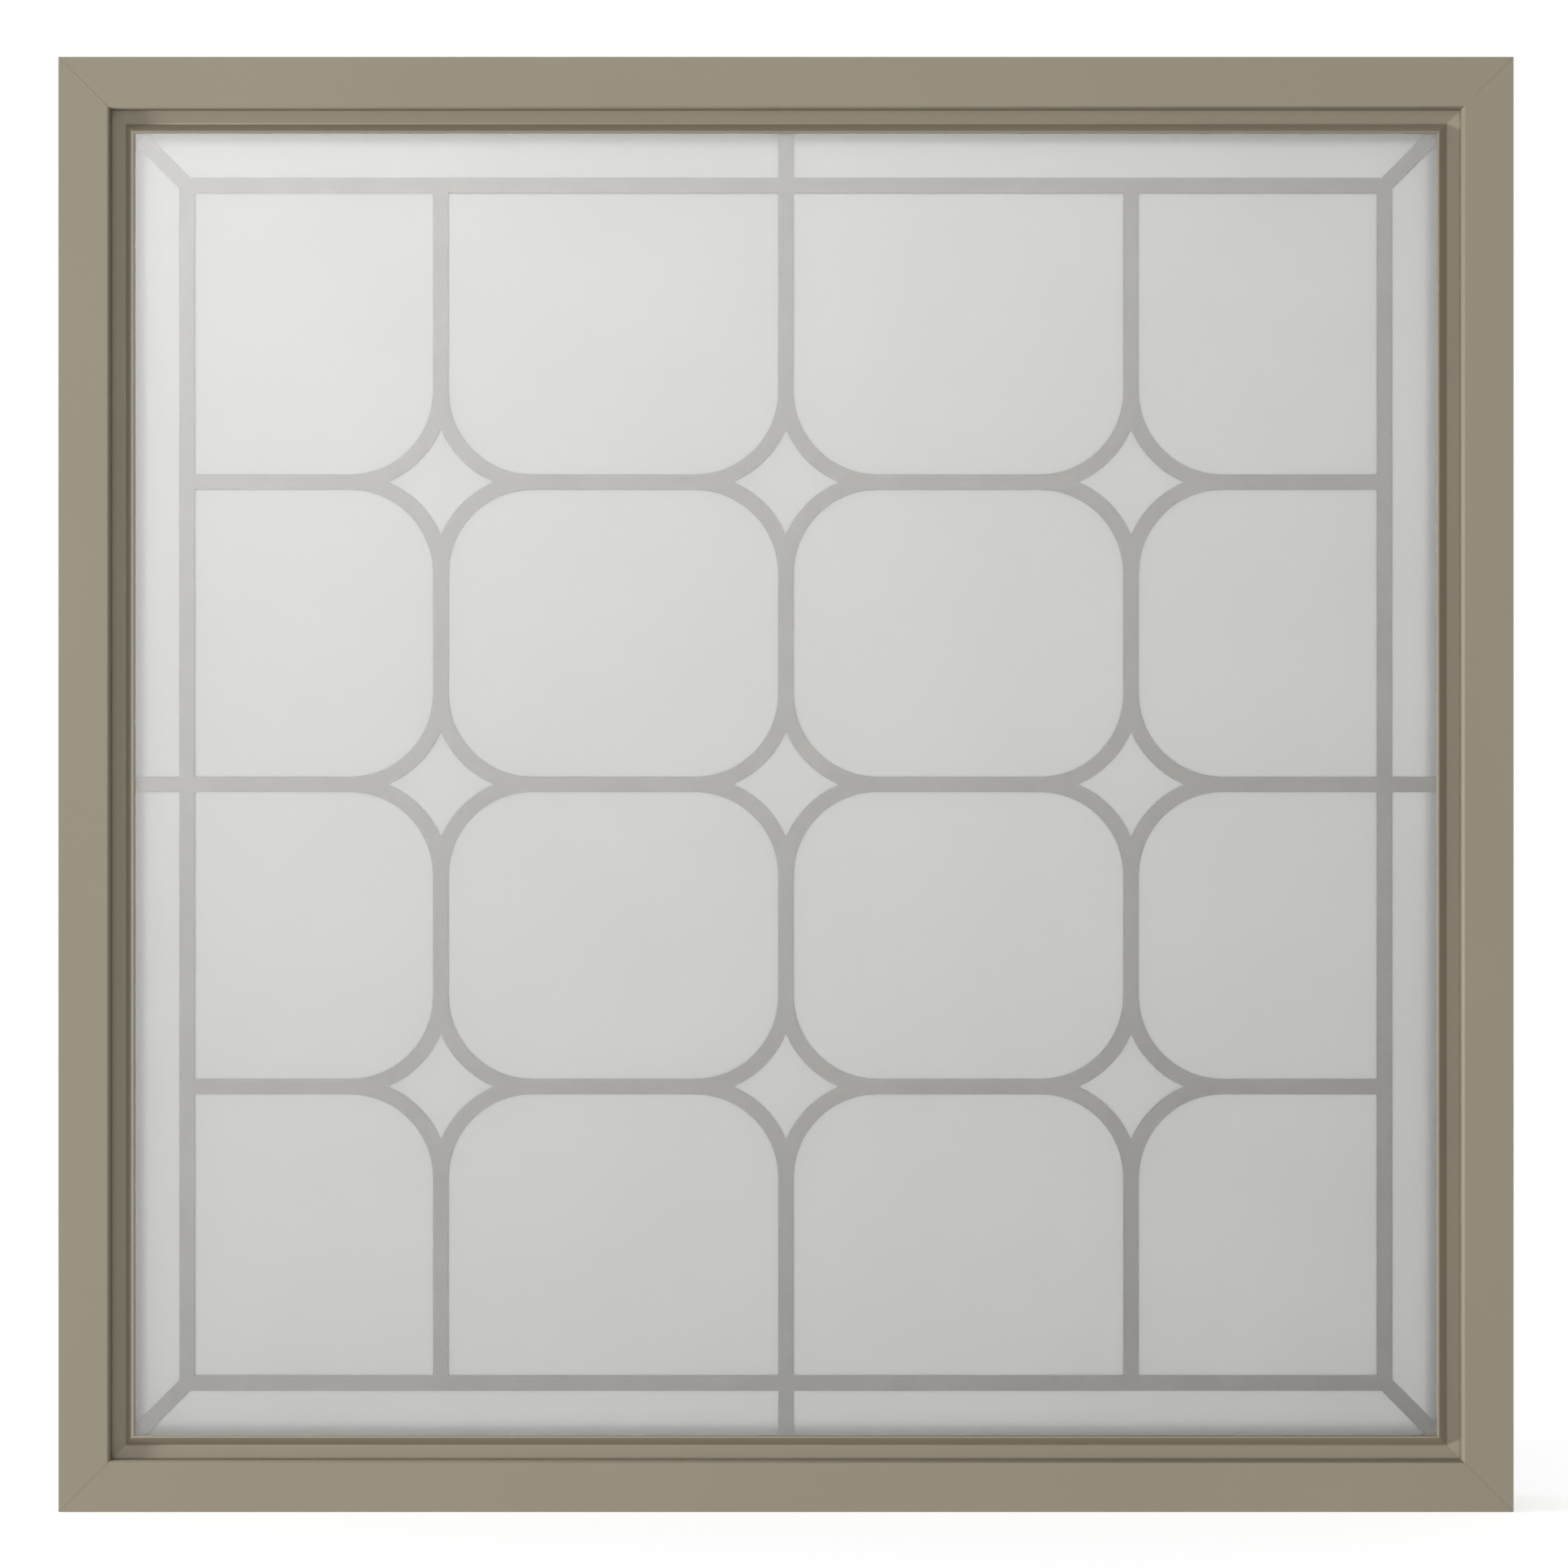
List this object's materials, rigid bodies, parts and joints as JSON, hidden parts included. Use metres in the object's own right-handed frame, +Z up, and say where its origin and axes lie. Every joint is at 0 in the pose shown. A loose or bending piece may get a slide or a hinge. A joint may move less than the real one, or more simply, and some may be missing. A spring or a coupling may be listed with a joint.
{
  "type": "picture window",
  "caption": "Square fixed picture window: welded vinyl frame, snap-in beads and a sealed unit around a leaded panel of obscure lites with star crossings.",
  "frame": {"origin": "bottom centre: middle of the width and of the depth, on the underside of the sill", "axes": "+X to the right seen from outside, +Y from the outside face towards the room, +Z up"},
  "size_m": [0.9018, 0.0826, 0.9017],
  "materials": {
    "vinyl": "satin tan vinyl, fine grain",
    "gasket": "soft black glazing gasket",
    "tape": "closed-cell glazing tape",
    "clear_glass": "clear tempered glass",
    "obscure_glass": "satin etched obscure glass",
    "spacer": "mill-finish spacer bar",
    "came": "satin zinc came with a fine grain",
    "block": "hard rubber setting block"
  },
  "bodies": {
    "root": {"frame_head": "vinyl", "frame_sill": "vinyl", "left_jamb": "vinyl", "right_jamb": "vinyl", "glazing_bead_head": "vinyl", "glazing_bead_sill": "vinyl", "glazing_bead_left": "vinyl", "glazing_bead_right": "vinyl", "bead_gasket_head": "gasket", "bead_gasket_sill": "gasket", "bead_gasket_left": "gasket", "bead_gasket_right": "gasket", "glazing_tape_head": "tape", "glazing_tape_sill": "tape", "glazing_tape_left": "tape", "glazing_tape_right": "tape", "outer_pane": "clear_glass", "inner_pane": "clear_glass", "spacer_head": "spacer", "spacer_sill": "spacer", "spacer_left": "spacer", "spacer_right": "spacer", "setting_block_left": "block", "setting_block_right": "block", "came_lattice": "came", "top_row_lites": "obscure_glass", "upper_row_lites": "obscure_glass", "lower_row_lites": "obscure_glass", "bottom_row_lites": "obscure_glass", "star_lites": "obscure_glass", "border_lites_head": "obscure_glass", "border_lites_sill": "obscure_glass", "border_lites_left": "obscure_glass", "border_lites_right": "obscure_glass"}
  },
  "joints": []
}
